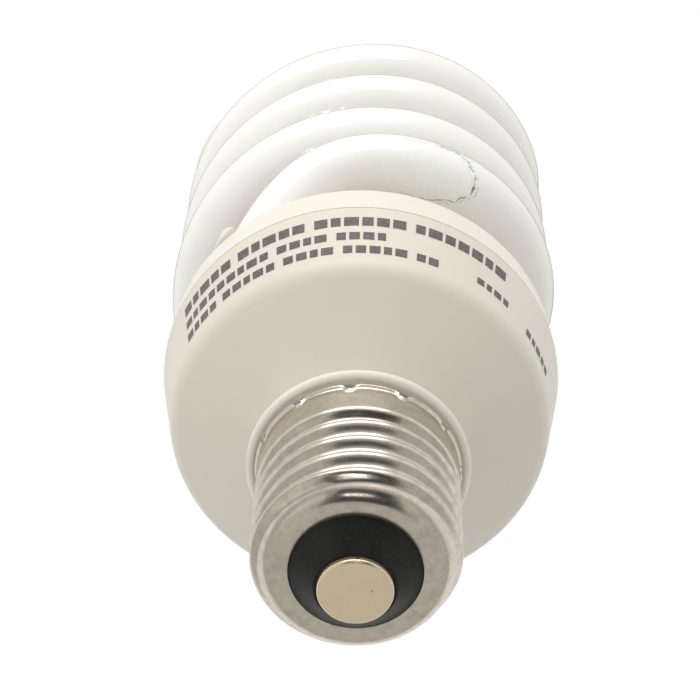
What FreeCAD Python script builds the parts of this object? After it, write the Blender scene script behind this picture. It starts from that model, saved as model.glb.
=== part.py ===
"""Spiral compact fluorescent bulb with a screw cap, base down, axis on Z, contact face at z = 0."""

import math
import os

import FreeCAD, Part

V = FreeCAD.Vector
UP = V(0, 0, 1)

# Screw cap
thread_crest_radius = 13.15
thread_depth = 1.0
thread_pitch = 3.629
thread_start = 5.9
thread_end = 24.3
thread_groove_height = 6.85
thread_groove_angle = 270.0
shell_wall = 0.5
shell_lip_radius = 8.3
shell_lip_height = 4.2
shell_band_radius = 13.2
shell_rim_height = 26.9
shell_rim_flare = 0.35
notch_count = 12
notch_radius = 0.75
notch_depth = 0.35
notch_below_rim = 1.1
contact_radius = 4.68
contact_thickness = 1.0
contact_edge = 0.45
contact_stem_radius = 1.5
contact_stem_height = 8.6
contact_bore_radius = 0.7
insulator_height = 8.0
cap_clearance = 0.05

# Housing
housing_wall = 1.6
neck_wall = 1.3
neck_clearance = 0.15
neck_length = 14.05
collar_radius = 14.35
collar_gap = 0.15
collar_thickness = 1.1
cone_start_radius = 13.7
cone_height = 8.15
shoulder_round = 3.2
band_height = 12.5
band_flare = 2.0
seam_radius = 27.15
rib_count = 6
rib_width = 1.4
rib_reach = 1.3

# Cover
cover_height = 8.0
cover_draft = 0.65
cover_round = 2.4
cover_wall = 1.5
seam_gap = 0.2
spigot_depth = 2.4
spigot_wall = 1.2
spigot_clearance = 0.1
hood_wall = 1.4
hood_clearance = 0.1
hood_sweep = 17.0

# Spiral tube
tube_radius = 4.75
tube_wall = 0.9
coil_radius = 22.9
coil_lead = 23.8
coil_lift = 10.6
coil_angle = 270.0
coil_top_angle = 900.0
coil_step = 30.0
leg_flare = 1.2
leg_flare_span = 135.0
leg_angle = 212.0
leg_inset = 7.35
leg_drop = 6.8
leg_rise = 23.0
bridge_rise = 3.0

# Tube ends
stem_length = 4.0
stem_clearance = 0.05
tip_radius = 1.3
tip_length = 2.6
lead_in_radius = 0.3
lead_in_spacing = 2.6
lead_in_length = 4.0
filament_radius = 0.55
filament_overhang = 0.5

# Circuit board and its pieces, which hang below the board
board_thickness = 1.6
board_drop = 3.8
board_clearance = 0.4
lead_radius = 0.35
bulk_capacitor_radius = 5.0
bulk_capacitor_length = 17.0
bulk_capacitor_round = 0.6
bulk_capacitor_groove = 0.4
choke_place = (14.0, 0.0)
choke_size = (9.0, 12.5, 8.6)
choke_leg = 3.0
choke_yoke = 1.8
choke_overhang = 1.6
toroid_place = (-2.0, 13.0)
toroid_radius = 4.4
toroid_bore = 2.4
toroid_thickness = 4.0
transistor_places = ((-13.0, 5.0), (-13.0, -5.0))
transistor_radius = 2.4
transistor_flat = 1.0
transistor_height = 5.0
transistor_stand = 2.6
transistor_pitch = 1.27
diode_places = ((2.0, -9.2), (2.0, -12.6), (2.0, -16.0), (8.6, -16.0))
diode_radius = 1.3
diode_length = 4.2
diode_reach = 5.4
film_capacitor_places = ((6.6, 15.4), (-11.2, 12.4))
film_capacitor_size = (6.4, 3.4, 6.0)
film_capacitor_round = 0.7
filter_choke_place = (-7.6, -13.2)
filter_choke_radius = 3.0
filter_choke_length = 7.0
filter_choke_flange = 0.9
filter_choke_waist = 1.1
fuse_place = (7.2, 0.0)
fuse_radius = 1.5
fuse_length = 7.0
fuse_stand = 7.0
shell_lead_place = (-7.6, 0.0)
post_width = 0.9
post_height = 2.4
post_spread = 4.0
post_inset = 3.4

# Values that follow from the sizes above
thread_root_radius = thread_crest_radius - thread_depth
shell_bore_radius = thread_root_radius - shell_wall
neck_radius = shell_bore_radius - neck_clearance
neck_bore_radius = neck_radius - neck_wall
collar_bottom = shell_rim_height + collar_gap
collar_top = collar_bottom + collar_thickness
neck_bottom = collar_bottom - neck_length
fuse_bottom = neck_bottom + fuse_stand
shoulder_radius = seam_radius - band_flare
shoulder_height = collar_top + cone_height
seam_height = shoulder_height + band_height
cover_edge_radius = seam_radius - cover_draft
cover_top = seam_height + cover_height
board_top = seam_height - board_drop
board_bottom = board_top - board_thickness
coil_height = cover_top + coil_lift
leg_radius = seam_radius - leg_inset
leg_height = cover_top - leg_drop
tube_bore_radius = tube_radius - tube_wall
tube_hole_radius = tube_radius + hood_clearance


def polar(radius, degrees, z=0.0):
    """Point at a radius and an angle about Z."""
    angle = math.radians(degrees)
    return V(radius * math.cos(angle), radius * math.sin(angle), z)


def turned(outline):
    """Solid of revolution from (radius, height) points; a pair of points makes an arc through the first."""
    last = outline[-1]
    here = V(last[0], 0, last[1])
    edges = []
    for step in outline:
        if isinstance(step[0], tuple):
            middle, end = (V(r, 0, z) for r, z in step)
            edges.append(Part.Arc(here, middle, end).toShape())
        else:
            end = V(step[0], 0, step[1])
            edges.append(Part.makeLine(here, end))
        here = end
    return Part.Face(Part.Wire(edges)).revolve(V(0, 0, 0), UP, 360)


def rod(start, end, radius):
    """Round bar between two points."""
    run = end - start
    return Part.makeCylinder(radius, run.Length, start, run)


def bent_wire(points, radius):
    """Wire through the points, with ball joints at its bends."""
    pieces = [rod(a, b, radius) for a, b in zip(points, points[1:])]
    pieces += [Part.makeSphere(radius, p) for p in points[1:-1]]
    return pieces[0].multiFuse(pieces[1:]).removeSplitter()


def block(size, centre, top):
    """Box hung below a height, centred on a place."""
    x, y, z = size
    return Part.makeBox(x, y, z, V(centre[0] - x / 2, centre[1] - y / 2, top - z))


def corner_arc(before, corner, after, radius):
    """Start, middle and end of a round of the given radius at a corner of an outline."""
    a = V(before[0], before[1], 0) - V(corner[0], corner[1], 0)
    b = V(after[0], after[1], 0) - V(corner[0], corner[1], 0)
    half = a.getAngle(b) / 2
    a.normalize()
    b.normalize()
    tip = V(corner[0], corner[1], 0)
    back = radius / math.tan(half)
    middle = a + b
    middle.normalize()
    centre_distance = radius / math.sin(half)
    points = (tip + a * back, tip + middle * (centre_distance - radius), tip + b * back)
    return [(p.x, p.y) for p in points]


def ramp(value, start, end):
    """Smooth step from 0 at start to 1 at end."""
    t = min(1.0, max(0.0, (value - start) / (end - start)))
    return t * t * (3 - 2 * t)


# Screw cap

def thread_radius(degrees, z):
    """Radius of the rolled thread, which fades into the lip below it and the band above it."""
    turn = (z - thread_groove_height) / thread_pitch - (degrees - thread_groove_angle) / 360
    wave = thread_root_radius + thread_depth * (0.5 - 0.5 * math.cos(2 * math.pi * turn))
    low = ramp(z, thread_start + thread_pitch / 2, thread_start)
    high = ramp(z, thread_end - thread_pitch / 2, thread_end)
    return wave * (1 - low) * (1 - high) + thread_root_radius * low + shell_band_radius * high


def thread_body():
    """Solid round bar with the rolled thread on it."""
    rows = math.ceil((thread_end - thread_start) / thread_pitch * 10)
    heights = [thread_start + (thread_end - thread_start) * i / rows for i in range(rows + 1)]
    grid = [[polar(thread_radius(a, z), a, z) for a in range(0, 361, 12)] for z in heights]
    surface = Part.BSplineSurface()
    surface.interpolate(grid)
    side = surface.toShape()
    ends = []
    for z in (thread_start, thread_end):
        rim = [e for e in side.Edges if abs(e.BoundBox.ZMin - z) < 1e-6 and e.BoundBox.ZLength < 1e-6]
        ends.append(Part.Face(Part.Wire(rim)))
    shell = Part.makeShell([side] + ends)
    shell.sewShape()
    return Part.makeSolid(shell)


def screw_shell():
    joint = 0.05
    lip = turned([
        (0, shell_lip_height),
        (shell_lip_radius + shell_wall, shell_lip_height),
        ((thread_root_radius - shell_wall, shell_lip_height + shell_wall), (thread_root_radius - joint, thread_start)),
        (thread_root_radius - joint, thread_start + joint),
        (0, thread_start + joint),
    ])
    band = turned([
        (0, thread_end - joint),
        (shell_band_radius - joint, thread_end - joint),
        (shell_band_radius - joint, shell_rim_height - shell_rim_flare * 2),
        (shell_band_radius + shell_rim_flare, shell_rim_height),
        (0, shell_rim_height),
    ])
    bore = turned([
        (0, shell_lip_height - shell_wall),
        (shell_lip_radius, shell_lip_height - shell_wall),
        (shell_lip_radius, shell_lip_height + shell_wall),
        (shell_bore_radius, thread_start + shell_wall),
        (shell_bore_radius, shell_rim_height + shell_wall),
        (0, shell_rim_height + shell_wall),
    ])
    solid = thread_body().multiFuse([lip, band]).cut(bore)
    reach = shell_band_radius + notch_radius - notch_depth
    notches = []
    for i in range(notch_count):
        angle = thread_groove_angle + 360 * i / notch_count
        notches.append(Part.makeSphere(notch_radius, polar(reach, angle, shell_rim_height - notch_below_rim)))
    return solid.cut(notches)


def centre_contact():
    edge = corner_arc((0, 0), (contact_radius, 0), (contact_radius, contact_thickness), contact_edge)
    return turned([
        (0, 0),
        edge[0],
        (edge[1], edge[2]),
        (contact_radius, contact_thickness),
        (contact_stem_radius, contact_thickness),
        (contact_stem_radius, contact_stem_height),
        (contact_bore_radius, contact_stem_height),
        (contact_bore_radius, contact_thickness),
        (0, contact_thickness),
    ])


def cap_insulator():
    hole = contact_stem_radius + cap_clearance
    lip = shell_lip_radius - cap_clearance
    inner = shell_bore_radius - cap_clearance
    lift = cap_clearance
    return turned([
        (hole, contact_thickness),
        (contact_radius + contact_edge, contact_thickness),
        (lip, shell_lip_height),
        (lip, shell_lip_height + shell_wall + lift),
        (inner, thread_start + shell_wall + lift),
        (inner, insulator_height),
        (hole, insulator_height),
    ])


# Housing and cover

def housing_outline(inset, round_radius):
    """Outer wall from the collar to the seam, moved in by a wall thickness."""
    foot = (cone_start_radius, collar_top)
    shoulder = (shoulder_radius, shoulder_height)
    rim = (seam_radius, seam_height)
    cone = math.atan2(shoulder[1] - foot[1], shoulder[0] - foot[0])
    band = math.atan2(rim[1] - shoulder[1], rim[0] - shoulder[0])
    lift = inset / math.cos(cone)
    back = inset / math.sin(band)
    slope = math.tan(cone)
    lean = (rim[0] - shoulder[0]) / (rim[1] - shoulder[1])
    corner_z = (shoulder[1] + lift - slope * back - slope * lean * shoulder[1]) / (1 - slope * lean)
    corner = (shoulder[0] - back + lean * (corner_z - shoulder[1]), corner_z)
    top = (rim[0] - back, rim[1])
    start = (foot[0], foot[1] + lift)
    return start, corner_arc(start, corner, top, round_radius), top


def inner_radius(z):
    """Inside radius of the housing band at a height."""
    share = (z - shoulder_height) / (seam_height - shoulder_height)
    return shoulder_radius + (seam_radius - shoulder_radius) * share - housing_wall


def lower_housing():
    foot, shoulder, rim = housing_outline(0, shoulder_round)
    inner_foot, inner_shoulder, inner_rim = housing_outline(housing_wall, shoulder_round - housing_wall)
    slope = (inner_shoulder[0][1] - inner_foot[1]) / (inner_shoulder[0][0] - inner_foot[0])
    mouth = inner_foot[1] - slope * (inner_foot[0] - neck_bore_radius)
    outer = turned([
        (0, neck_bottom),
        (neck_radius, neck_bottom),
        (neck_radius, collar_bottom),
        (collar_radius, collar_bottom),
        (collar_radius, collar_top),
        foot,
        shoulder[0],
        (shoulder[1], shoulder[2]),
        rim,
        (0, seam_height),
    ])
    hollow = turned([
        (0, neck_bottom - housing_wall),
        (neck_bore_radius, neck_bottom - housing_wall),
        (neck_bore_radius, mouth),
        inner_shoulder[0],
        (inner_shoulder[1], inner_shoulder[2]),
        inner_rim,
        (inner_rim[0], seam_height + housing_wall),
        (0, seam_height + housing_wall),
    ])
    ribs = []
    for i in range(rib_count):
        rib = Part.makeBox(
            seam_radius, rib_width, board_bottom - collar_bottom,
            V(inner_radius(board_bottom) - rib_reach, -rib_width / 2, collar_bottom),
        )
        rib.rotate(V(0, 0, 0), UP, 360 * (i + 0.5) / rib_count)
        ribs.append(rib.common(outer))
    return outer.cut(hollow).multiFuse(ribs)


def tube_cover():
    base = seam_height + seam_gap
    edge = corner_arc((seam_radius, base), (cover_edge_radius, cover_top), (0, cover_top), cover_round)
    lid = turned([
        (0, base),
        (seam_radius, base),
        edge[0],
        (edge[1], edge[2]),
        (0, cover_top),
    ])
    under = cover_top - cover_wall
    inner_edge = cover_edge_radius - cover_wall
    spigot = inner_radius(seam_height - spigot_depth) - spigot_clearance
    round_in = corner_arc((inner_edge, base), (inner_edge, under), (0, under), cover_round - cover_wall)
    hollow = turned([
        (0, seam_height - spigot_depth * 2),
        (spigot - spigot_wall, seam_height - spigot_depth * 2),
        (spigot - spigot_wall, base + spigot_wall),
        (inner_edge, base + spigot_wall * 2),
        round_in[0],
        (round_in[1], round_in[2]),
        (0, under),
    ])
    ring = turned([
        (0, seam_height - spigot_depth),
        (spigot, seam_height - spigot_depth),
        (spigot, base),
        (0, base),
    ])
    hoods = []
    holes = []
    for turn in (0, 180):
        hood = swept(leg_path(hood_sweep), tube_hole_radius + hood_wall)
        hole = swept(leg_path(hood_sweep * 2), tube_hole_radius)
        for piece in (hood, hole):
            piece.rotate(V(0, 0, 0), UP, turn)
        above = Part.makeCylinder(seam_radius * 2, cover_top, V(0, 0, under))
        hoods.append(hood.common(above))
        holes.append(hole)
    return lid.multiFuse([ring] + hoods).cut(hollow).cut(holes)


# Spiral tube

def blend(start, start_slope, end, end_slope, t):
    """Cubic between two values with the given slopes at its ends."""
    rise = end - start
    return start + start_slope * t + (3 * rise - 2 * start_slope - end_slope) * t ** 2 \
        + (start_slope + end_slope - 2 * rise) * t ** 3


def coil_point(degrees):
    """Centre of the tube on the coil at an angle."""
    past = degrees - coil_angle
    flare = leg_flare * ramp(past, leg_flare_span, 0)
    return polar(coil_radius + flare, degrees, coil_height + coil_lead * past / 360)


def leg_point(degrees):
    """Centre of the tube on the leg that climbs out of the cover to the coil."""
    span = coil_angle - leg_angle
    t = (degrees - leg_angle) / span
    radius = blend(leg_radius, coil_radius - leg_radius, coil_radius + leg_flare, 0, t)
    height = blend(leg_height, leg_rise, coil_height, coil_lead * span / 360, t)
    return polar(radius, degrees, height)


def bridge_point(t):
    """Centre of the tube on the half circle from the end of the coil to the axis, t from 0 to 1."""
    half = coil_radius / 2
    end = coil_height + coil_lead * (coil_top_angle - coil_angle) / 360
    climb = coil_lead / 4
    centre = polar(half, coil_top_angle)
    turn = polar(half, coil_top_angle + 180 * t)
    return centre + turn + V(0, 0, blend(end, climb, end + bridge_rise, 0, t))


def half_path():
    """Points of one half of the tube, from its end in the cover to the axis."""
    leg_steps = 4
    span = coil_angle - leg_angle
    points = [leg_point(leg_angle + span * i / leg_steps) for i in range(leg_steps)]
    turns = round((coil_top_angle - coil_angle) / coil_step)
    points += [coil_point(coil_angle + coil_step * i) for i in range(turns + 1)]
    bridge_steps = 5
    points += [bridge_point(i / bridge_steps) for i in range(1, bridge_steps + 1)]
    return points


def tube_path():
    """Centre line of the whole tube: one half and the same half turned about the axis."""
    first = half_path()
    second = [V(-p.x, -p.y, p.z) for p in reversed(first[:-1])]
    curve = Part.BSplineCurve()
    curve.interpolate(first + second)
    return curve


def leg_path(degrees):
    """Centre line of the leg only, from its end in the cover over an angle."""
    steps = 6
    curve = Part.BSplineCurve()
    curve.interpolate([leg_point(leg_angle + degrees * i / steps) for i in range(steps + 1)])
    return curve


def swept(curve, radius):
    """Round bar along a curve."""
    edge = curve.toShape()
    start = edge.valueAt(edge.FirstParameter)
    along = edge.tangentAt(edge.FirstParameter)
    ring = Part.Wire(Part.makeCircle(radius, start, along))
    return Part.Wire(edge).makePipeShell([ring], True, False)


def spiral_tube():
    """Hollow glass: one half swept from its end to the axis, and the same half turned about the axis."""
    path = tube_path()
    path.segment(path.FirstParameter, (path.FirstParameter + path.LastParameter) / 2)
    half = swept(path, tube_radius).cut(swept(path, tube_bore_radius))
    other = half.copy()
    other.rotate(V(0, 0, 0), UP, 180)
    return half.fuse(other)


def tube_stem(turn):
    """Glass plug in one end of the tube, with the stub of its exhaust tube."""
    curve = tube_path()
    edge = curve.toShape()
    plug_end = edge.getParameterByLength(stem_length)
    start = edge.valueAt(edge.FirstParameter)
    along = edge.tangentAt(edge.FirstParameter)
    curve.segment(edge.FirstParameter, plug_end)
    plug = swept(curve, tube_bore_radius - stem_clearance)
    tip = rod(start - along * tip_length, start + along * stem_length / 2, tip_radius)
    solid = plug.fuse(tip)
    solid.rotate(V(0, 0, 0), UP, turn)
    return solid


def stem_frame():
    """Inner face of the plug: centre, direction into the tube and the level direction across it."""
    edge = tube_path().toShape()
    place = edge.getParameterByLength(stem_length)
    along = edge.tangentAt(place)
    across = along.cross(UP)
    across.normalize()
    return edge.valueAt(place), along, across


def electrode(turn):
    """Filament coil across two lead-in wires that stand on the plug."""
    centre, along, across = stem_frame()
    half = across * (lead_in_spacing / 2)
    tops = [centre + along * lead_in_length + half * side for side in (-1, 1)]
    feet = [centre + half * side for side in (-1, 1)]
    wires = [rod(foot, top, lead_in_radius) for foot, top in zip(feet, tops)]
    reach = across * filament_overhang
    coil = rod(tops[0] - reach, tops[1] + reach, filament_radius)
    solid = coil.multiFuse(wires)
    solid.rotate(V(0, 0, 0), UP, turn)
    return solid


# Circuit board

def circuit_board():
    radius = inner_radius(board_bottom) - board_clearance
    return Part.makeCylinder(radius, board_thickness, V(0, 0, board_bottom))


def post_places(turn):
    """Feet of the two wire posts beside one end of the tube."""
    radius = leg_radius - post_inset
    spread = math.degrees(post_spread / radius)
    middle = leg_angle - spread * 2 + turn
    return [polar(radius, middle + spread * side / 2, board_top) for side in (-1, 1)]


def wire_post(foot):
    return Part.makeBox(post_width, post_width, post_height, foot - V(post_width / 2, post_width / 2, 0))


def tube_leads(turn):
    """Pair of wires from the plug to the posts on the board."""
    edge = tube_path().toShape()
    start = edge.valueAt(edge.FirstParameter)
    along = edge.tangentAt(edge.FirstParameter)
    across = along.cross(UP)
    across.normalize()
    wires = []
    for side, foot in zip((-1, 1), post_places(0)):
        root = start + across * (-side * (tip_radius + tube_bore_radius) / 2)
        top = foot + V(0, 0, post_height + lead_in_radius)
        wires.append(bent_wire([root, root - along * tip_radius, top], lead_in_radius))
    group = Part.makeCompound(wires)
    group.rotate(V(0, 0, 0), UP, turn)
    return group


def bulk_capacitor():
    bottom = board_bottom - bulk_capacitor_length
    radius = bulk_capacitor_radius
    low = corner_arc((0, bottom), (radius, bottom), (radius, board_bottom), bulk_capacitor_round)
    groove = board_bottom - radius / 2
    return turned([
        (0, bottom),
        low[0],
        (low[1], low[2]),
        (radius, groove - bulk_capacitor_groove * 2),
        ((radius - bulk_capacitor_groove, groove), (radius, groove + bulk_capacitor_groove * 2)),
        (radius, board_bottom),
        (0, board_bottom),
    ])


def choke_windows():
    """The two windows beside the middle leg of the core, as one ring-shaped box."""
    x, y, z = choke_size
    outer = block((x * 2, y - choke_yoke * 2, z - choke_yoke * 2), choke_place, board_bottom - choke_yoke)
    leg = block((x * 2, choke_leg, z), choke_place, board_bottom)
    return outer, leg


def choke_core():
    outer, leg = choke_windows()
    return block(choke_size, choke_place, board_bottom).cut(outer.cut(leg))


def choke_winding():
    x, y, z = choke_size
    gap = board_clearance / 2
    size = (x + choke_overhang * 2, y - (choke_yoke + gap) * 2, z - (choke_yoke + gap) * 2)
    coil = block(size, choke_place, board_bottom - choke_yoke - gap)
    coil = coil.makeFillet(choke_overhang / 2, [e for e in coil.Edges if e.BoundBox.ZLength > size[2] / 2])
    hole = block((x + gap * 2, choke_leg + gap * 2, z), choke_place, board_bottom)
    return coil.cut(hole)


def drive_toroid():
    centre = V(toroid_place[0], toroid_place[1], board_bottom - toroid_thickness)
    ring = Part.makeCylinder(toroid_radius, toroid_thickness, centre)
    return ring.cut(Part.makeCylinder(toroid_bore, toroid_thickness, centre))


def transistor(place):
    """Half-round body on three legs, flat side to the middle of the board."""
    top = board_bottom - transistor_stand
    centre = V(place[0], place[1], top - transistor_height)
    body = Part.makeCylinder(transistor_radius, transistor_height, centre)
    cutter = Part.makeBox(
        transistor_radius, transistor_radius * 2, transistor_height,
        centre + V(transistor_flat, -transistor_radius, 0),
    )
    legs = []
    for i in (-1, 0, 1):
        foot = V(place[0], place[1] + i * transistor_pitch, top)
        legs.append(rod(foot - V(0, 0, lead_radius), foot + V(0, 0, transistor_stand), lead_radius))
    return body.cut(cutter).multiFuse(legs)


def rectifier_diode(place):
    """Round body lying under the board, with its leads bent up to the board."""
    level = board_bottom - diode_radius
    centre = V(place[0], place[1], level)
    half = V(diode_length / 2, 0, 0)
    reach = V(diode_reach / 2, 0, 0)
    up = V(0, 0, diode_radius)
    body = rod(centre - half, centre + half, diode_radius)
    lead = bent_wire([centre - reach + up, centre - reach, centre + reach, centre + reach + up], lead_radius)
    return body.fuse(lead)


def film_capacitor(place):
    box = block(film_capacitor_size, place, board_bottom)
    low = [e for e in box.Edges if e.BoundBox.ZMax < board_bottom - film_capacitor_round]
    upright = [e for e in box.Edges if e.BoundBox.ZLength > film_capacitor_round]
    return box.makeFillet(film_capacitor_round, low + upright)


def filter_choke():
    """Drum core on end, with its winding in the waist."""
    bottom = board_bottom - filter_choke_length
    waist = filter_choke_radius - filter_choke_waist
    solid = turned([
        (0, bottom),
        (filter_choke_radius, bottom),
        (filter_choke_radius, bottom + filter_choke_flange),
        (waist, bottom + filter_choke_flange * 2),
        (waist, board_bottom - filter_choke_flange * 2),
        (filter_choke_radius, board_bottom - filter_choke_flange),
        (filter_choke_radius, board_bottom),
        (0, board_bottom),
    ])
    solid.translate(V(filter_choke_place[0], filter_choke_place[1], 0))
    return solid


def fuse_resistor():
    """Round resistor in the neck, on the wire that feeds the board."""
    low = V(fuse_place[0], fuse_place[1], fuse_bottom)
    body = rod(low, low + UP * fuse_length, fuse_radius)
    body = body.makeFillet(fuse_radius / 3, body.Edges[:1] + body.Edges[2:])
    wire = rod(low + UP * fuse_length / 2, V(low.x, low.y, board_bottom), lead_radius)
    return body.fuse(wire)


def contact_lead():
    """Wire from the contact's stem up to the resistor."""
    top = V(fuse_place[0], fuse_place[1], fuse_bottom)
    foot = V(0, 0, contact_stem_height)
    bend = V(top.x, top.y, (contact_stem_height + neck_bottom) / 2)
    rise = V(0, 0, bend.z)
    return bent_wire([foot, rise, bend, top], lead_radius)


def shell_lead():
    """Wire from the board down the neck and out under it to the shell."""
    x, y = shell_lead_place
    bend = neck_bottom - lead_radius * 3
    reach = math.sqrt(shell_bore_radius ** 2 - lead_radius ** 2)
    return bent_wire([V(x, y, board_bottom), V(x, y, bend), V(-reach, y, bend)], lead_radius)


def pieces():
    """Every node's name and shape."""
    parts = {
        "screw_shell": screw_shell(),
        "centre_contact": centre_contact(),
        "cap_insulator": cap_insulator(),
        "lower_housing": lower_housing(),
        "tube_cover": tube_cover(),
        "spiral_tube": spiral_tube(),
        "circuit_board": circuit_board(),
        "bulk_capacitor": bulk_capacitor(),
        "choke_core": choke_core(),
        "choke_winding": choke_winding(),
        "drive_toroid": drive_toroid(),
        "filter_choke": filter_choke(),
        "fuse_resistor": fuse_resistor(),
        "contact_lead": contact_lead(),
        "shell_lead": shell_lead(),
    }
    for i, turn in enumerate((0, 180), 1):
        parts[f"tube_stem_{i}"] = tube_stem(turn)
        parts[f"electrode_{i}"] = electrode(turn)
        parts[f"tube_leads_{i}"] = tube_leads(turn)
    posts = post_places(0) + post_places(180)
    for i, foot in enumerate(posts, 1):
        parts[f"wire_post_{i}"] = wire_post(foot)
    for i, place in enumerate(transistor_places, 1):
        parts[f"transistor_{i}"] = transistor(place)
    for i, place in enumerate(diode_places, 1):
        parts[f"rectifier_diode_{i}"] = rectifier_diode(place)
    for i, place in enumerate(film_capacitor_places, 1):
        parts[f"film_capacitor_{i}"] = film_capacitor(place)
    return parts


os.makedirs("parts", exist_ok=True)
for name, shape in pieces().items():
    shape.exportStep(f"parts/{name}.step")
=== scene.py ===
"""Spiral energy saving bulb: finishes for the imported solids, a rolled screw shell, a rounded collar lip,
plain bars of print on the band, and a plain studio."""

import math

import bmesh
import bpy
from bpy.props import FloatProperty, FloatVectorProperty, IntProperty, PointerProperty
from mathutils import Matrix, Vector


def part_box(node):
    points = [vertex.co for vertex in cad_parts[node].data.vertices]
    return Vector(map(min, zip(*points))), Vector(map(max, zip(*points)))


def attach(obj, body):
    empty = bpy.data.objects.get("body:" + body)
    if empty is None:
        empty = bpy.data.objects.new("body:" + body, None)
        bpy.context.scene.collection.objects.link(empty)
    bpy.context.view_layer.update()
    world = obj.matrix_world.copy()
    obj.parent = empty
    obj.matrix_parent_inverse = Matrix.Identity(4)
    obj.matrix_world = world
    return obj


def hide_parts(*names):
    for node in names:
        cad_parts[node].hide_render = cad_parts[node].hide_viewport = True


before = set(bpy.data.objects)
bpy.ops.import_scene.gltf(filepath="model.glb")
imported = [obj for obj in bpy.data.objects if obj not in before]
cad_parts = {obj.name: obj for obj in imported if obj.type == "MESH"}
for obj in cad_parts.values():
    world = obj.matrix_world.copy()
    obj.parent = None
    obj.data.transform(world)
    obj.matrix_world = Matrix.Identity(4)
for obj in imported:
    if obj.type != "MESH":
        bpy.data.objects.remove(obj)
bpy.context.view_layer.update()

bl_info = {
    "name": "Spiral Energy Saving Bulb",
    "version": (1, 0, 0),
    "blender": (4, 5, 0),
    "location": "View3D > Sidebar > Bulb",
    "description": "Finishes a spiral bulb's solids and sets it in a plain studio",
    "category": "Object",
}

MM = 0.001

# Direction of the photograph's side, round the axis
FRONT = math.radians(270)

# Angles past which an edge stays sharp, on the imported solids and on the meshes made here
SOLID_SHARP = math.radians(35)
MESH_SHARP = math.radians(50)

# Where the shell's wall steps inward above the middle of its bead, in heights of the bead
BEAD_STEP = (0.3, 1.3)

# Degrees about the middle of the collar's lip, from below round its outer side to its top
LIP_ARC = range(-150, 91, 10)

# Widths that printed marks take by turns, in their heights, and the step at which a mark follows the band
MARK_WIDTHS = (0.95, 0.7, 1.05, 0.8, 0.9)
MARK_STEP = math.radians(1.5)

# Lines of print: first angle in degrees, marks in each group, drop below the seam and height in millimetres
PRINT_LINES = (
    (207, (5, 5, 6, 7), 4.0, 1.9),
    (207, (9, 4, 4), 7.0, 1.6),
    (207, (4, 5, 4, 5, 2), 9.9, 1.6),
    (305, (4,), 8.8, 1.3),
    (327, (5,), 9.4, 1.3),
)

# Direction from the tube's centre to the bare patch: outward and up
PATCH_WAY = (0.45, -0.9)

# Lamps: place from the aim point, then width and height, in metres
KEY_LAMP = ((-0.05, -0.85, 0.35), (0.9, 0.6))
SIDE_LAMP = ((-0.75, -0.35, -0.4), (0.5, 0.5))

# Small lamps by the camera: their shift from it along y and z, and their width and height
DOT_SHIFT = (-40 * MM, 20 * MM)
DOT_SIZE = (12 * MM, 36 * MM)

# Direction of the dark card from the cap
FLAG_WAY = (0.10, -0.66, -0.74)


def colour_prop(name, description, default):
    """Colour that the panel shows."""
    return FloatVectorProperty(name=name, description=description, default=default, subtype="COLOR",
                               size=3, min=0.0, max=1.0)


def length_prop(name, description, default):
    """Length in metres that the panel shows."""
    return FloatProperty(name=name, description=description, default=default, unit="LENGTH")


def angle_prop(name, description, degrees):
    """Angle that the panel shows."""
    return FloatProperty(name=name, description=description, default=math.radians(degrees), subtype="ANGLE")


def power_prop(name, description, watts):
    """Lamp power that the panel shows."""
    return FloatProperty(name=name, description=description, default=watts, unit="POWER")


def number_prop(name, description, default):
    """Plain number that the panel shows."""
    return FloatProperty(name=name, description=description, default=default)


# Settings

class CapSettings(bpy.types.PropertyGroup):
    """Finish of the screw cap"""

    plate: colour_prop("Plate", "Bright nickel plate of the shell", (0.62, 0.57, 0.49))
    tarnish: colour_prop("Tarnish", "Duller patches of the plate", (0.49, 0.445, 0.38))
    contact: colour_prop("Contact", "Rubbed face of the centre contact", (0.79, 0.665, 0.475))
    glass: colour_prop("Insulator", "Black glass round the contact", (0.006, 0.0065, 0.006))
    dust: colour_prop("Dust", "Dust on the black glass", (0.09, 0.09, 0.085))


class ShellSettings(bpy.types.PropertyGroup):
    """Shape of the rolled screw shell"""

    crest: length_prop("Crest", "Radius of the thread's crests", 13.15 * MM)
    depth: length_prop("Groove depth", "Depth of the rolled grooves", 1.0 * MM)
    pitch: length_prop("Pitch", "Height from one groove to the next", 3.629 * MM)
    groove: length_prop("Groove height", "Height of the lowest groove at the front", 5.4 * MM)
    thread_end: length_prop("Thread end", "Height at which the last groove has run out", 21.8 * MM)
    run_out: length_prop("Run-out", "Height over which the last groove runs out", 1.8 * MM)
    dome_height: length_prop("Dome height", "Height at which the dome turns into the wall", 6.8 * MM)
    dome_round: length_prop("Dome round", "Radius of the dome's arc", 2.8 * MM)
    run_in: length_prop("Run-in", "Height over which the first groove runs in", 1.4 * MM)
    lip: length_prop("Lip", "Radius of the dome's edge round the insulator", 8.3 * MM)
    lip_turn: length_prop("Lip turn", "How far the dome's edge turns up inside", 0.5 * MM)
    rim: length_prop("Rim height", "Top of the shell", 26.9 * MM)
    bead: length_prop("Bead", "Height of the bead under the rim", 0.3 * MM)
    bead_drop: length_prop("Bead drop", "Bead's middle below the rim", 0.6 * MM)
    notches: IntProperty(name="Notches", description="Staking notches round the rim", default=12)
    notch_angle: angle_prop("Notch angle", "Place of the first notch round the axis", 264.0)
    notch_width: length_prop("Notch width", "Half width of a notch", 0.55 * MM)
    notch_drop: length_prop("Notch drop", "How far the bead dips at a notch", 0.95 * MM)
    row: length_prop("Row", "Mesh spacing along the profile", 0.15 * MM)
    columns: IntProperty(name="Columns", description="Mesh columns round the shell", default=252)


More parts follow.
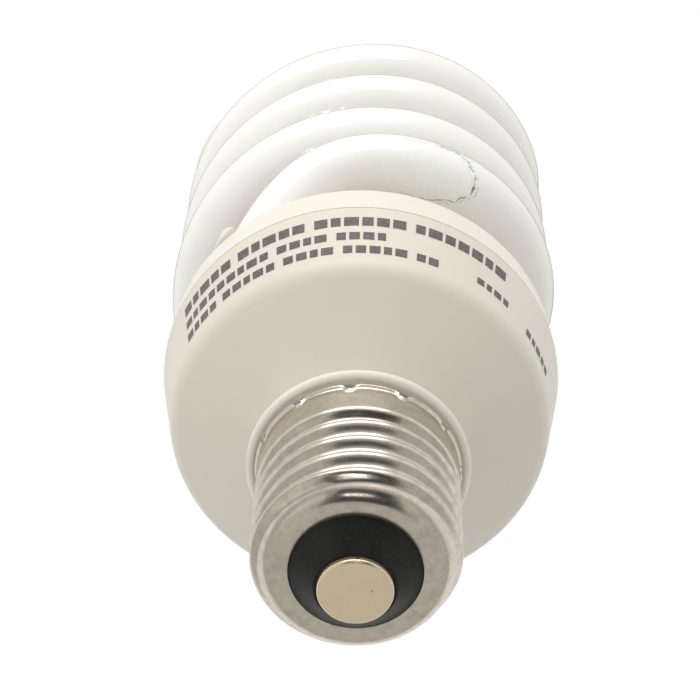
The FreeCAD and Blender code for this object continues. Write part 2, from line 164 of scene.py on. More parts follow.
class HousingSettings(bpy.types.PropertyGroup):
    """Finish of the plastic housing, its rounded lip and its print"""

    plastic: colour_prop("Plastic", "Cream plastic of the housing", (0.74, 0.70, 0.612))
    cover: colour_prop("Cover", "Plastic of the cover under the spiral", (0.84, 0.80, 0.715))
    speck: colour_prop("Specks", "Specks in the plastic", (0.30, 0.26, 0.20))
    lip_radius: length_prop("Lip radius", "Radius to the middle of the rounded lip over the cap", 13.95 * MM)
    lip_height: length_prop("Lip height", "Height of the middle of the rounded lip", 27.6 * MM)
    lip_round: length_prop("Lip round", "Radius of the rounded lip's section", 0.70 * MM)
    lip_columns: IntProperty(name="Lip columns", description="Mesh columns round the lip", default=180)
    band_height: length_prop("Band height", "Height of the flared band", 12.5 * MM)
    band_flare: length_prop("Band flare", "How far the band widens over its height", 2.0 * MM)
    ink: colour_prop("Ink", "Grey ink on the band", (0.075, 0.063, 0.060))
    ink_lift: length_prop("Ink lift", "Height of the print above the band", 0.02 * MM)
    mark_gap: length_prop("Mark gap", "Space between two printed marks", 0.45 * MM)
    group_gap: length_prop("Group gap", "More space between two groups of marks", 0.9 * MM)


class TubeSettings(bpy.types.PropertyGroup):
    """Finish of the glass spiral"""

    coating: colour_prop("Coating", "White coating inside the glass", (0.93, 0.915, 0.89))
    thin: colour_prop("Thin coating", "Coating where it is thin", (0.92, 0.895, 0.865))
    bare: colour_prop("Bare patch", "Inside of the glass seen through the bare patch", (0.98, 0.975, 0.94))
    # Painted shade: the glass wall colour is a dark tan laid along the tube's outline, where its surface
    # turns edge on
    wall: colour_prop("Glass wall", "Clear glass seen edge on", (0.30, 0.22, 0.15))
    edge: colour_prop("Coating edge", "Greenish edge of the coating round the bare patch", (0.20, 0.27, 0.12))
    patch_angle: angle_prop("Patch angle", "Place of the bare patch round the axis", 287.0)
    patch_length: length_prop("Patch length", "Half length of the bare patch along the tube", 7.2 * MM)
    patch_width: length_prop("Patch width", "Half width of the bare patch across the tube", 3.9 * MM)
    patch_corner: number_prop("Patch corner", "Squareness of the bare patch, 2 being an ellipse", 2.6)
    patch_depth: number_prop("Patch depth", "How deep in the tube the patch still shows, in tube radii", 1.2)
    strokes: number_prop("Strokes", "Closeness of the strokes at the coating's edge", 46.0)
    leg_radius: length_prop("Leg radius", "Tube's centre from the axis at the patch", 24.15 * MM)
    leg_height: length_prop("Leg height", "Height of the tube's centre at the patch", 69.5 * MM)
    tube_radius: length_prop("Tube radius", "Outer radius of the glass tube", 4.75 * MM)
    climb: angle_prop("Climb", "Slope of the tube along the coil", 9.4)


class StageSettings(bpy.types.PropertyGroup):
    """Camera, floor and light"""

    aim_height: length_prop("Aim height", "Point on the axis that the camera stands back from", 30 * MM)
    distance: length_prop("Distance", "Camera distance from the aim point", 300 * MM)
    tilt: angle_prop("Tilt", "Angle between the bulb's axis and the line of sight", 32.6)
    pitch: angle_prop("Pitch", "Camera turned up from the aim point", 2.69)
    yaw: angle_prop("Yaw", "Camera turned right from the aim point", -0.29)
    roll: angle_prop("Roll", "Camera turned about its line of sight", 1.5)
    lens: number_prop("Lens", "Focal length in millimetres", 117.87)
    film: number_prop("Film", "Width of the camera's frame in millimetres", 36.0)
    clip: length_prop("Clip", "Nearest that the camera sees", 10 * MM)
    floor_drop: length_prop("Floor drop", "Floor below the contact", 400 * MM)
    floor_half: length_prop("Floor half", "Half width of the floor", 20.0)
    lamp_aim: length_prop("Lamp aim", "Height on the axis that the large lamps face", 55 * MM)
    key_power: power_prop("Key", "Power of the large lamp", 3.5)
    fill_power: power_prop("Fill", "Power of the side lamp", 1.9)
    dot_power: power_prop("Dots", "Power of each small lamp by the camera", 0.014)
    dot_gap: length_prop("Dot gap", "Space between the small lamps", 33 * MM)
    air: colour_prop("Air", "Tint of the even light", (1.0, 0.985, 0.96))
    horizon: number_prop("Horizon", "Strength of the even light from the sides", 1.03)
    overhead: number_prop("Overhead", "Strength of the even light from above", 0.6)
    flag_distance: length_prop("Flag distance", "Dark card from the cap", 340 * MM)
    flag_width: length_prop("Flag width", "Width of the dark card", 380 * MM)
    flag_height: length_prop("Flag height", "Height of the dark card", 440 * MM)


# Node helpers

def add_node(tree, kind, inputs=None, **settings):
    """New shader node with its settings, values and links."""
    made = tree.nodes.new(kind)
    for key, value in settings.items():
        setattr(made, key, value)
    for key, value in (inputs or {}).items():
        if isinstance(value, bpy.types.NodeSocket):
            tree.links.new(value, made.inputs[key])
        else:
            made.inputs[key].default_value = value
    return made


def rgba(colour):
    """Colour as a node socket takes it."""
    return (*colour, 1.0)


def shade_of(colour, share):
    """Darker or lighter shade of a colour, as a node socket takes it."""
    return rgba([value * share for value in colour])


def noise(tree, place, scale, detail=4.0, roughness=0.55, distortion=0.0):
    """Fine cloud pattern, its scale in features per metre."""
    made = add_node(tree, "ShaderNodeTexNoise", {
        "Vector": place, "Scale": scale, "Detail": detail, "Roughness": roughness, "Distortion": distortion,
    })
    return made.outputs[0]


def blend_colours(tree, factor, first, second):
    """Colour between two, by a factor."""
    made = add_node(tree, "ShaderNodeMix", {0: factor, 6: first, 7: second}, data_type="RGBA")
    return made.outputs[2]


def spread(tree, value, low, high, to_low, to_high):
    """Value moved from one range to another and held inside it."""
    made = add_node(tree, "ShaderNodeMapRange", {
        "Value": value, "From Min": low, "From Max": high, "To Min": to_low, "To Max": to_high,
    })
    return made.outputs[0]


def maths(tree, operation, first, second=0.0):
    """Result of an operation on one or two values."""
    made = add_node(tree, "ShaderNodeMath", {0: first, 1: second}, operation=operation)
    return made.outputs[0]


def dot(tree, vector, axis):
    """Length of a vector along an axis."""
    made = add_node(tree, "ShaderNodeVectorMath", {0: vector, 1: tuple(axis)}, operation="DOT_PRODUCT")
    return made.outputs["Value"]


def bump(tree, height, distance, strength, under=None):
    """Fine relief from a height, over another relief if one is given."""
    inputs = {"Height": height, "Distance": distance, "Strength": strength}
    if under is not None:
        inputs["Normal"] = under
    return add_node(tree, "ShaderNodeBump", inputs).outputs[0]


def new_finish(name):
    """Material with a shader on its output, its node tree and the place on the object."""
    material = bpy.data.materials.new(name)
    material.use_nodes = True
    tree = material.node_tree
    tree.nodes.clear()
    output = tree.nodes.new("ShaderNodeOutputMaterial")
    shader = tree.nodes.new("ShaderNodeBsdfPrincipled")
    tree.links.new(shader.outputs[0], output.inputs[0])
    place = tree.nodes.new("ShaderNodeTexCoord").outputs["Object"]
    return material, tree, shader, place


def feed(tree, shader, **inputs):
    """Sets or links the shader's inputs, underscores standing for spaces."""
    for key, value in inputs.items():
        socket = shader.inputs[key.replace("_", " ")]
        if isinstance(value, bpy.types.NodeSocket):
            tree.links.new(value, socket)
        else:
            socket.default_value = value


def put_on(material, *nodes):
    """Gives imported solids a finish."""
    for name in nodes:
        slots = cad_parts[name].data.materials
        slots.clear()
        slots.append(material)


def smooth(*nodes):
    """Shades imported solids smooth, apart from their sharp edges."""
    for name in nodes:
        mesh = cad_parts[name].data
        mesh.shade_smooth()
        mesh.set_sharp_from_angle(angle=SOLID_SHARP)


# Finishes

def plated_metal(settings):
    """Nickel plate with rolling lines round the cap, dull patches and small marks."""
    material, tree, shader, place = new_finish("nickel_plate")
    cloud = noise(tree, place, 900, 5, 0.6)
    patch = spread(tree, cloud, 0.40, 0.72, 0.0, 1.0)
    flat = add_node(tree, "ShaderNodeMapping", {"Vector": place, "Scale": (0.12, 0.12, 1.0)}).outputs[0]
    lines = noise(tree, flat, 2600, 3, 0.5)
    marks = spread(tree, noise(tree, place, 1300, 3, 0.6), 0.72, 0.75, 0.0, 0.6)
    worn = blend_colours(tree, patch, rgba(settings.plate), rgba(settings.tarnish))
    colour = blend_colours(tree, marks, worn, shade_of(settings.tarnish, 0.35))
    rough_patch = spread(tree, cloud, 0.3, 0.7, 0.19, 0.27)
    rough_line = spread(tree, lines, 0.3, 0.7, -0.03, 0.03)
    rough = maths(tree, "ADD", rough_patch, rough_line)
    normal = bump(tree, lines, 0.006 * MM, 0.2, bump(tree, cloud, 0.02 * MM, 0.08))
    feed(tree, shader, Base_Color=colour, Metallic=1.0, Roughness=rough, Normal=normal)
    return material


def rubbed_contact(settings):
    """Soft plated face, rubbed and pitted."""
    material, tree, shader, place = new_finish("rubbed_contact")
    cloud = noise(tree, place, 380, 5, 0.6)
    pits = spread(tree, noise(tree, place, 700, 2, 0.4), 0.735, 0.75, 0.0, 1.0)
    rubbed = spread(tree, cloud, 0.35, 0.7, 0.0, 1.0)
    tint = blend_colours(tree, rubbed, rgba(settings.contact), shade_of(settings.contact, 0.94))
    colour = blend_colours(tree, pits, tint, shade_of(settings.contact, 0.3))
    rough = spread(tree, cloud, 0.3, 0.7, 0.24, 0.32)
    normal = bump(tree, maths(tree, "SUBTRACT", cloud, pits), 0.02 * MM, 0.12)
    feed(tree, shader, Base_Color=colour, Metallic=0.85, Roughness=rough, Normal=normal)
    return material


def black_glass(settings):
    """Cast black glass with a dusty skin."""
    material, tree, shader, place = new_finish("black_glass")
    cloud = noise(tree, place, 300, 6, 0.7)
    dust = spread(tree, noise(tree, place, 2400, 3, 0.6), 0.60, 0.75, 0.0, 0.35)
    dull = spread(tree, cloud, 0.35, 0.75, 0.0, 1.0)
    skin_colour = blend_colours(tree, dull, rgba(settings.glass), shade_of(settings.glass, 2.2))
    colour = blend_colours(tree, dust, skin_colour, rgba(settings.dust))
    rough = spread(tree, cloud, 0.3, 0.7, 0.38, 0.52)
    normal = bump(tree, cloud, 0.08 * MM, 0.25)
    feed(tree, shader, Base_Color=colour, Roughness=rough, Normal=normal, Specular_IOR_Level=0.25)
    return material


def moulded_plastic(name, tint, speck):
    """Cream moulded plastic: faint flow marks, a fine satin grain and a few specks."""
    material, tree, shader, place = new_finish(name)
    flow = spread(tree, noise(tree, place, 55, 3, 0.5, 0.6), 0.3, 0.7, 0.0, 1.0)
    grain = noise(tree, place, 4200, 2, 0.5)
    specks = spread(tree, noise(tree, place, 900, 2, 0.4), 0.775, 0.785, 0.0, 0.4)
    base = blend_colours(tree, flow, rgba(tint), shade_of(tint, 0.965))
    colour = blend_colours(tree, specks, base, rgba(speck))
    rough = spread(tree, grain, 0.3, 0.7, 0.36, 0.46)
    normal = bump(tree, grain, 0.012 * MM, 0.22)
    feed(tree, shader, Base_Color=colour, Roughness=rough, Normal=normal, Subsurface_Weight=0.08,
         Subsurface_Radius=(1.5 * MM, 1.2 * MM, 0.9 * MM), Subsurface_Scale=1.0)
    return material


def patch_axes(settings):
    """Centre of the bare patch on the glass, and the directions along, across and out of the tube there."""
    angle = settings.patch_angle
    up = Vector((0, 0, 1))
    radial = Vector((math.cos(angle), math.sin(angle), 0))
    level = Vector((-math.sin(angle), math.cos(angle), 0))
    along = level * math.cos(settings.climb) + up * math.sin(settings.climb)
    outward = (radial * PATCH_WAY[0] + up * PATCH_WAY[1]).normalized()
    outward = (outward - along * outward.dot(along)).normalized()
    centre = radial * settings.leg_radius + up * settings.leg_height
    return centre + outward * settings.tube_radius, along, along.cross(outward), outward


def patch_masks(tree, place, settings):
    """Where the coating is bare, and where its edge shows as strokes at the leading end of the bare patch."""
    centre, along, across, outward = patch_axes(settings)
    offset = add_node(tree, "ShaderNodeVectorMath", {0: place, 1: tuple(centre)}, operation="SUBTRACT")
    offset = offset.outputs[0]
    run = maths(tree, "DIVIDE", dot(tree, offset, along), settings.patch_length)
    side = maths(tree, "DIVIDE", dot(tree, offset, across), settings.patch_width)
    powers = []
    for share in (run, side):
        powers.append(maths(tree, "POWER", maths(tree, "ABSOLUTE", share), settings.patch_corner))
    reach = maths(tree, "SQRT", maths(tree, "ADD", *powers))
    fray = spread(tree, noise(tree, place, 420, 3, 0.6, 0.8), 0.25, 0.75, -0.12, 0.12)
    ragged = maths(tree, "ADD", reach, fray)
    deepest = -settings.tube_radius * settings.patch_depth
    near = maths(tree, "GREATER_THAN", dot(tree, offset, outward), deepest)
    inside = maths(tree, "MULTIPLY", spread(tree, ragged, 0.92, 1.0, 1.0, 0.0), near)
    from_edge = maths(tree, "ABSOLUTE", maths(tree, "SUBTRACT", ragged, 1.0))
    edge = spread(tree, from_edge, 0.05, 0.15, 1.0, 0.0)
    wave = maths(tree, "SINE", maths(tree, "MULTIPLY", ragged, settings.strokes))
    strokes = spread(tree, wave, -0.2, 0.5, 0.0, 1.0)
    leading = spread(tree, run, -0.55, 0.85, 0.0, 1.0)
    breaks = spread(tree, noise(tree, place, 480, 3, 0.6), 0.38, 0.48, 0.0, 1.0)
    for mask in (near, strokes, leading, breaks):
        edge = maths(tree, "MULTIPLY", edge, mask)
    return inside, edge


def coated_glass(settings):
    """Clear glass over a white inner coating, with a bare patch whose coating ends in a fuzzy edge, and
    painted shade along the tube's outline.
    """
    material, tree, shader, place = new_finish("coated_glass")
    inside, edge = patch_masks(tree, place, settings)
    cloud = noise(tree, place, 90, 4, 0.6)
    thin = spread(tree, cloud, 0.35, 0.7, 0.0, 1.0)
    coat = blend_colours(tree, thin, rgba(settings.coating), rgba(settings.thin))
    frost = noise(tree, place, 3200, 3, 0.7)
    left_on = spread(tree, frost, 0.3, 0.7, 0.0, 1.0)
    bare = blend_colours(tree, left_on, rgba(settings.bare), rgba(settings.coating))
    colour = blend_colours(tree, inside, coat, bare)
    colour = blend_colours(tree, edge, colour, rgba(settings.edge))
    # Painted shade along the tube's outline: the colour turns dark tan as the surface turns edge on, and the
    # coat thins there so that the tan shows
    grazing = add_node(tree, "ShaderNodeLayerWeight", {"Blend": 0.5}).outputs["Facing"]
    wall = spread(tree, grazing, 0.72, 0.94, 0.0, 0.85)
    colour = blend_colours(tree, wall, colour, rgba(settings.wall))
    gloss = spread(tree, grazing, 0.62, 0.88, 1.0, 0.0)
    rough = spread(tree, cloud, 0.3, 0.7, 0.42, 0.55)
    normal = bump(tree, maths(tree, "MULTIPLY", frost, inside), 0.10 * MM, 0.5)
    feed(tree, shader, Base_Color=colour, Roughness=rough, Normal=normal,
         Coat_Weight=gloss, Coat_Roughness=0.03, Coat_IOR=1.5,
         Subsurface_Weight=0.2, Subsurface_Radius=(0.5 * MM, 0.5 * MM, 0.5 * MM), Subsurface_Scale=1.0)
    return material


def small_part(name, tint, shade, scale, roughness, depth, metallic=0.0):
    """Mottled plain finish, as of a piece inside the housing."""
    material, tree, shader, place = new_finish(name)
    cloud = noise(tree, place, scale, 5, 0.6)
    colour = blend_colours(tree, spread(tree, cloud, 0.35, 0.65, 0.0, 1.0), rgba(tint), rgba(shade))
    rough = spread(tree, cloud, 0.3, 0.7, roughness, roughness + 0.15)
    normal = bump(tree, cloud, depth, 0.4)
    feed(tree, shader, Base_Color=colour, Metallic=metallic, Roughness=rough, Normal=normal)
    return material


def wound_wire():
    """Enamelled copper in close turns, its colour darker in the grooves between turns and lighter on their
    crowns: painted shade and painted highlight.
    """
    material, tree, shader, place = new_finish("wound_copper")
    turns = add_node(tree, "ShaderNodeTexWave", {"Vector": place, "Scale": 420.0, "Distortion": 0.6},
                     bands_direction="Y").outputs[1]
    # Painted shade in the grooves and painted highlight on the crowns of the turns
    colour = blend_colours(tree, turns, rgba((0.28, 0.10, 0.03)), rgba((0.62, 0.28, 0.11)))
    rough = spread(tree, turns, 0.0, 1.0, 0.45, 0.25)
    normal = bump(tree, turns, 0.15 * MM, 0.7)
    feed(tree, shader, Base_Color=colour, Metallic=0.9, Roughness=rough, Normal=normal)
    return material


def printed_ink(settings):
    """Pad-printed ink with a slightly patchy cover."""
    material, tree, shader, place = new_finish("printed_ink")
    cloud = noise(tree, place, 1800, 4, 0.6)
    patchy = spread(tree, cloud, 0.4, 0.75, 0.0, 1.0)
    colour = blend_colours(tree, patchy, rgba(settings.ink), shade_of(settings.ink, 2.4))
    rough = spread(tree, cloud, 0.3, 0.7, 0.4, 0.55)
    feed(tree, shader, Base_Color=colour, Roughness=rough, Normal=bump(tree, cloud, 0.004 * MM, 0.2))
    return material


def studio_floor():
    """Pale matt floor with a faint tooth."""
    material, tree, shader, place = new_finish("studio_floor")
    cloud = noise(tree, place, 3, 3, 0.5)
    colour = blend_colours(tree, cloud, rgba((0.73, 0.73, 0.72)), rgba((0.76, 0.76, 0.75)))
    tooth = bump(tree, noise(tree, place, 900, 2, 0.5), 0.2 * MM, 0.1)
    feed(tree, shader, Base_Color=colour, Roughness=0.9, Normal=tooth)
    return material


# Meshes

def mesh_object(name, mesh, material):
    """New object in the scene from a finished bmesh."""
    data = bpy.data.meshes.new(name)
    mesh.to_mesh(data)
    mesh.free()
    data.materials.append(material)
    made = bpy.data.objects.new(name, data)
    bpy.context.scene.collection.objects.link(made)
    return made


def flat_square(name, half, material):
    """New flat square of a half width, facing up."""
    mesh = bmesh.new()
    bmesh.ops.create_grid(mesh, x_segments=1, y_segments=1, size=half)
    return mesh_object(name, mesh, material)


def circle(radius, height, columns):
    """Points round the axis at one radius and height."""
    return [Vector((radius * math.cos(a), radius * math.sin(a), height))
            for a in (2 * math.pi * i / columns for i in range(columns))]


def skin(name, rings, material):
    """Smooth mesh object over rings of points, each joined to the next, on the bulb's body."""
    mesh = bmesh.new()
    rows = [[mesh.verts.new(point) for point in ring] for ring in rings]
    for low, high in zip(rows, rows[1:]):
        for i in range(len(low)):
            mesh.faces.new((low[i - 1], low[i], high[i], high[i - 1]))
    piece = mesh_object(name, mesh, material)
    piece.data.shade_smooth()
    piece.data.set_sharp_from_angle(angle=MESH_SHARP)
    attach(piece, "root")
    return piece


# Rolled shell

def ease(value, start, end):
    """Smooth step from 0 at start to 1 at end."""
    t = min(1.0, max(0.0, (value - start) / (end - start)))
    return t * t * (3 - 2 * t)


def shell_profile(settings):
    """Radius and height of the shell without thread and bead, from the lip over the dome to the rim."""
    root = settings.crest - settings.depth
    middle = root - settings.dome_round
    first = math.asin((settings.lip - middle) / settings.dome_round)
    steps = math.ceil((math.pi / 2 - first) * settings.dome_round / settings.row)
    points = []
    for i in range(steps):
        angle = first + (math.pi / 2 - first) * i / steps
        height = settings.dome_height - settings.dome_round * math.cos(angle)
        points.append((middle + settings.dome_round * math.sin(angle), height))
    steps = math.ceil((settings.rim - settings.dome_height) / settings.row)
    rise = (settings.rim - settings.dome_height) / steps
    return points + [(root, settings.dome_height + rise * i) for i in range(steps + 1)]


def thread_rise(settings, turn, height):
    """Height of the rolled thread over its root, the turn counted from the front."""
    share = (height - settings.groove) / settings.pitch - turn
    wave = 0.5 - 0.5 * math.cos(2 * math.pi * share)
    run_in = ease(height, settings.dome_height - settings.run_in, settings.dome_height)
    run_out = ease(height, settings.thread_end - settings.run_out, settings.thread_end)
    return settings.depth * run_in * (wave + (1 - wave) * run_out)


def bead_offset(settings, angle, height):
    """Offset of the wall near the rim: a bead that dips at each notch, and a step inward above it."""
    part = 2 * math.pi / settings.notches
    from_notch = (angle - settings.notch_angle + part / 2) % part - part / 2
    dip = math.exp(-(from_notch * settings.crest / settings.notch_width) ** 2)
    above = height - (settings.rim - settings.bead_drop - settings.notch_drop * dip)
    swell = math.exp(-(above / settings.bead) ** 2)
    step = ease(above, settings.bead * BEAD_STEP[0], settings.bead * BEAD_STEP[1])
    return settings.bead * (swell - step)


def shell_ring(settings, radius, height):
    """Points round the shell at one step of its profile."""
    points = []
    for i in range(settings.columns):
        angle = 2 * math.pi * i / settings.columns
        turn = (angle - FRONT) / (2 * math.pi)
        wall = radius + thread_rise(settings, turn, height) + bead_offset(settings, angle, height)
        points.append(Vector((wall * math.cos(angle), wall * math.sin(angle), height)))
    return points


# Print on the band

def band_point(settings, angle, height):
    """Point just above the housing's band, which flares from the shoulder to the seam."""
    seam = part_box("lower_housing")[1]
    lean = settings.band_flare / settings.band_height
    radius = seam.x - (seam.z - height) * lean + settings.ink_lift
    return Vector((radius * math.cos(angle), radius * math.sin(angle), height))


def print_mark(mesh, settings, start, end, bottom, top):
    """One plain bar of ink that follows the band."""
    steps = max(2, round((end - start) / MARK_STEP))
    last = None
    for i in range(steps + 1):
        angle = start + (end - start) * i / steps
        pair = [mesh.verts.new(band_point(settings, angle, h)) for h in (bottom, top)]
        if last:
            mesh.faces.new((last[0], pair[0], pair[1], last[1]))
        last = pair


def print_line(mesh, settings, start, groups, drop, height):
    """Row of plain bars round the band, from an angle and below the seam, in groups of the given counts."""
    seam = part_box("lower_housing")[1]
    angle = start
    bottom = seam.z - drop
    done = 0
    for count in groups:
        for _ in range(count):
            end = angle + height * MARK_WIDTHS[done % len(MARK_WIDTHS)] / seam.x
            print_mark(mesh, settings, angle, end, bottom, bottom + height)
            angle = end + settings.mark_gap / seam.x
            done += 1
        angle += settings.group_gap / seam.x


# Stage

def sight_axes(settings):
    """Directions of the line of sight, to the right and up."""
    sine, cosine = math.sin(settings.tilt), math.cos(settings.tilt)
    return Vector((0, sine, cosine)), Vector((1, 0, 0)), Vector((0, -cosine, sine))


def set_camera(scene, settings):
    """Camera below the base, looking up along the bulb."""
    forward, right, up = sight_axes(settings)
    place = Vector((0, 0, settings.aim_height)) - forward * settings.distance
    turn = Matrix((right, up, -forward)).transposed()
    turn = turn @ Matrix.Rotation(settings.pitch, 3, "X") @ Matrix.Rotation(-settings.yaw, 3, "Y")
    turn = turn @ Matrix.Rotation(settings.roll, 3, "Z")
    data = bpy.data.cameras.new("camera")
    data.sensor_width = settings.film
    data.lens = settings.lens
    data.clip_start = settings.clip
    camera = bpy.data.objects.new("camera", data)
    camera.matrix_world = Matrix.Translation(place) @ turn.to_4x4()
    scene.collection.objects.link(camera)
    scene.camera = camera


def set_world(scene, settings):
    """Even light, strongest from the sides, with a white background for the camera and for reflections."""
    world = bpy.data.worlds.new("studio")
    world.use_nodes = True
    tree = world.node_tree
    tree.nodes.clear()
    rays = tree.nodes.new("ShaderNodeLightPath").outputs
    seen = maths(tree, "MAXIMUM", rays["Is Camera Ray"],
                 maths(tree, "MAXIMUM", rays["Is Glossy Ray"], rays["Is Transmission Ray"]))
    way = tree.nodes.new("ShaderNodeTexCoord").outputs["Generated"]
    rise = add_node(tree, "ShaderNodeSeparateXYZ", {0: way}).outputs["Z"]
    power = spread(tree, rise, 0.0, 1.0, settings.horizon, settings.overhead)
    even = add_node(tree, "ShaderNodeBackground", {0: rgba(settings.air), 1: power})
    white = add_node(tree, "ShaderNodeBackground", {0: (1.0, 1.0, 1.0, 1.0), 1: 1.0})
    mixed = add_node(tree, "ShaderNodeMixShader", {0: seen, 1: even.outputs[0], 2: white.outputs[0]})
    add_node(tree, "ShaderNodeOutputWorld", {0: mixed.outputs[0]})
    scene.world = world


def lay_floor(settings):
    """Wide pale floor below the bulb."""
    floor = flat_square("floor", settings.floor_half, studio_floor())
    floor.location.z = -settings.floor_drop


def hang_flag(settings):
    """Wide dark card in front of the cap, for the metal to mirror."""
    card = small_part("flag_card", (0.020, 0.016, 0.028), (0.026, 0.021, 0.035), 20, 0.8, 0.1 * MM)
    half_unit = 0.5
    flag = flat_square("flag", half_unit, card)
    way = Vector(FLAG_WAY).normalized()
    flag.location = way * settings.flag_distance
    flag.rotation_mode = "QUATERNION"
    flag.rotation_quaternion = way.to_track_quat("Z", "Y")
    flag.scale = (settings.flag_width, settings.flag_height, 1)
    flag.visible_diffuse = False
    flag.visible_camera = False


def add_lamp(scene, name, aim, offset, size, power):
    """Soft lamp that faces the bulb."""
    data = bpy.data.lights.new(name, "AREA")
    data.shape = "RECTANGLE"
    data.size, data.size_y = size
    data.energy = power
    lamp = bpy.data.objects.new(name, data)
    lamp.location = aim + offset
    lamp.rotation_mode = "QUATERNION"
    lamp.rotation_quaternion = (-offset).to_track_quat("-Z", "Y")
    scene.collection.objects.link(lamp)
    return lamp


def set_lamps(scene, settings):
    """Large lamp in front, a side lamp that no gloss mirrors, and three small lamps by the camera."""
    centre = Vector((0, 0, settings.lamp_aim))
    add_lamp(scene, "key_lamp", centre, Vector(KEY_LAMP[0]), KEY_LAMP[1], settings.key_power)
    side = add_lamp(scene, "side_lamp", centre, Vector(SIDE_LAMP[0]), SIDE_LAMP[1], settings.fill_power)
    side.visible_glossy = False
    aim = Vector((0, 0, settings.aim_height))
    back = sight_axes(settings)[0] * -settings.distance
    for i in range(3):
        offset = back + Vector(((i - 1) * settings.dot_gap, *DOT_SHIFT))
        add_lamp(scene, f"dot_lamp_{i + 1}", aim, offset, DOT_SIZE, settings.dot_power)


# Operators

class BULB_OT_dress_cap(bpy.types.Operator):
    """Finish the insulator and the contact"""

    bl_idname = "bulb.dress_cap"
    bl_label = "Finish the Cap"

    def execute(self, context):
        settings = context.scene.bulb_cap
        put_on(rubbed_contact(settings), "centre_contact")
        put_on(black_glass(settings), "cap_insulator")
        smooth("centre_contact", "cap_insulator")
        return {"FINISHED"}


class BULB_OT_roll_shell(bpy.types.Operator):
    """Roll the screw shell with its dome, thread and staked rim"""

    bl_idname = "bulb.roll_shell"
    bl_label = "Roll the Shell"

    def execute(self, context):
        settings = context.scene.bulb_shell
        profile = shell_profile(settings)
        lip_height = profile[0][1] + settings.lip_turn
        rings = [circle(settings.lip, lip_height, settings.columns)]
        rings += [shell_ring(settings, radius, height) for radius, height in profile]
        rings.append(circle(settings.crest - settings.depth, settings.rim, settings.columns))
        piece = skin("rolled_shell", rings, plated_metal(context.scene.bulb_cap))
        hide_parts("screw_shell")
        return {"FINISHED"}


class BULB_OT_dress_housing(bpy.types.Operator):
    """Finish the lower housing and the cover"""

    bl_idname = "bulb.dress_housing"
    bl_label = "Finish the Housing"

    def execute(self, context):
        settings = context.scene.bulb_housing
        put_on(moulded_plastic("housing_plastic", settings.plastic, settings.speck), "lower_housing")
        put_on(moulded_plastic("cover_plastic", settings.cover, settings.speck), "tube_cover")
        smooth("lower_housing", "tube_cover")
        return {"FINISHED"}


class BULB_OT_round_collar(bpy.types.Operator):
    """Round the lip of the housing over the cap"""

    bl_idname = "bulb.round_collar"
    bl_label = "Round the Collar"

    def execute(self, context):
        settings = context.scene.bulb_housing
        rings = []
        for degrees in LIP_ARC:
            angle = math.radians(degrees)
            radius = settings.lip_radius + settings.lip_round * math.cos(angle)
            height = settings.lip_height + settings.lip_round * math.sin(angle)
            rings.append(circle(radius, height, settings.lip_columns))
        piece = skin("collar_lip", rings, moulded_plastic("lip_plastic", settings.cover, settings.speck))
        return {"FINISHED"}


class BULB_OT_print_band(bpy.types.Operator):
    """Print plain bars on the band of the housing"""

    bl_idname = "bulb.print_band"
    bl_label = "Print the Band"

    def execute(self, context):
        settings = context.scene.bulb_housing
        mesh = bmesh.new()
        for start, groups, drop, height in PRINT_LINES:
            print_line(mesh, settings, math.radians(start), groups, drop * MM, height * MM)
        piece = mesh_object("band_print", mesh, printed_ink(settings))
        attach(piece, "root")
        return {"FINISHED"}


class BULB_OT_dress_tube(bpy.types.Operator):
    """Finish the glass spiral, its plugs and its electrodes"""

    bl_idname = "bulb.dress_tube"
    bl_label = "Finish the Spiral"

    def execute(self, context):
        put_on(coated_glass(context.scene.bulb_tube), "spiral_tube")
        put_on(small_part("stem_glass", (0.70, 0.73, 0.71), (0.62, 0.66, 0.64), 300, 0.08, 0.05 * MM),
               "tube_stem_1", "tube_stem_2")
        put_on(small_part("tungsten", (0.30, 0.30, 0.31), (0.22, 0.22, 0.23), 2000, 0.35, 0.02 * MM, 1.0),
               "electrode_1", "electrode_2")
        smooth("spiral_tube", "tube_stem_1", "tube_stem_2", "electrode_1", "electrode_2")
        return {"FINISHED"}


class BULB_OT_dress_ballast(bpy.types.Operator):
    """Finish the circuit board and the pieces on it"""

    bl_idname = "bulb.dress_ballast"
    bl_label = "Finish the Ballast"

    def execute(self, context):
        names = list(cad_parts)
        put_on(small_part("laminate", (0.42, 0.30, 0.15), (0.36, 0.25, 0.12), 500, 0.5, 0.03 * MM),
               "circuit_board")
        put_on(small_part("capacitor_sleeve", (0.02, 0.03, 0.07), (0.03, 0.04, 0.09), 200, 0.25, 0.02 * MM),
               "bulk_capacitor")
        put_on(small_part("ferrite", (0.05, 0.05, 0.055), (0.08, 0.08, 0.08), 1500, 0.6, 0.05 * MM),
               "choke_core", "drive_toroid", "filter_choke")
        put_on(wound_wire(), "choke_winding")
        put_on(small_part("resistor_lacquer", (0.10, 0.22, 0.20), (0.08, 0.18, 0.16), 800, 0.4, 0.03 * MM),
               "fuse_resistor")
        put_on(small_part("black_epoxy", (0.015, 0.015, 0.015), (0.03, 0.03, 0.03), 1800, 0.5, 0.03 * MM),
               *[n for n in names if n.startswith(("transistor", "rectifier"))])
        put_on(small_part("dipped_film", (0.03, 0.16, 0.05), (0.04, 0.20, 0.07), 400, 0.2, 0.04 * MM),
               *[n for n in names if n.startswith("film_capacitor")])
        put_on(small_part("tinned_wire", (0.62, 0.62, 0.60), (0.48, 0.48, 0.46), 1200, 0.3, 0.02 * MM, 1.0),
               *[n for n in names if n.endswith("_lead") or n.startswith(("tube_leads", "wire_post"))])
        return {"FINISHED"}


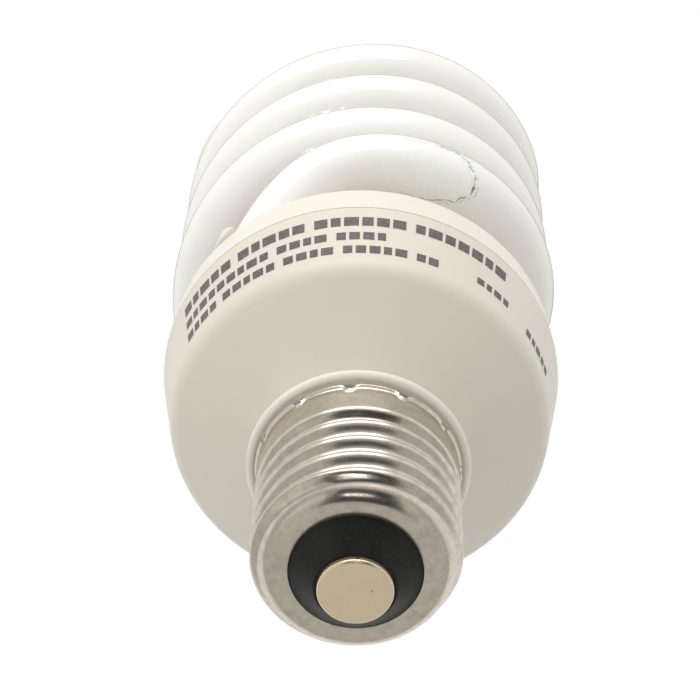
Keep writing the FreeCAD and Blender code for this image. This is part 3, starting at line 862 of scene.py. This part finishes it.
class BULB_OT_set_stage(bpy.types.Operator):
    """Set the camera, the floor and the light"""

    bl_idname = "bulb.set_stage"
    bl_label = "Set the Stage"

    def execute(self, context):
        settings = context.scene.bulb_stage
        context.scene.view_settings.view_transform = "Standard"
        set_camera(context.scene, settings)
        set_world(context.scene, settings)
        lay_floor(settings)
        hang_flag(settings)
        set_lamps(context.scene, settings)
        return {"FINISHED"}


# Panel and registration

class BULB_PT_panel(bpy.types.Panel):
    """Settings and steps of the bulb"""

    bl_idname = "BULB_PT_panel"
    bl_label = "Spiral Bulb"
    bl_space_type = "VIEW_3D"
    bl_region_type = "UI"
    bl_category = "Bulb"

    def draw(self, context):
        for operator in OPERATORS:
            self.layout.operator(operator.bl_idname)
        for name in SETTINGS:
            box = self.layout.box()
            group = getattr(context.scene, name)
            for key in group.__annotations__:
                box.prop(group, key)


SETTINGS = {
    "bulb_cap": CapSettings,
    "bulb_shell": ShellSettings,
    "bulb_housing": HousingSettings,
    "bulb_tube": TubeSettings,
    "bulb_stage": StageSettings,
}
OPERATORS = (
    BULB_OT_dress_cap,
    BULB_OT_roll_shell,
    BULB_OT_dress_housing,
    BULB_OT_round_collar,
    BULB_OT_print_band,
    BULB_OT_dress_tube,
    BULB_OT_dress_ballast,
    BULB_OT_set_stage,
)


def register():
    for name, group in SETTINGS.items():
        bpy.utils.register_class(group)
        setattr(bpy.types.Scene, name, PointerProperty(type=group))
    for operator in OPERATORS:
        bpy.utils.register_class(operator)
    bpy.utils.register_class(BULB_PT_panel)


def unregister():
    bpy.utils.unregister_class(BULB_PT_panel)
    for operator in reversed(OPERATORS):
        bpy.utils.unregister_class(operator)
    for name, group in reversed(SETTINGS.items()):
        delattr(bpy.types.Scene, name)
        bpy.utils.unregister_class(group)


def main():
    register()
    bpy.ops.bulb.dress_cap()
    bpy.ops.bulb.roll_shell()
    bpy.ops.bulb.dress_housing()
    bpy.ops.bulb.round_collar()
    bpy.ops.bulb.print_band()
    bpy.ops.bulb.dress_tube()
    bpy.ops.bulb.dress_ballast()
    bpy.ops.bulb.set_stage()


if __name__ == "__main__":
    main()
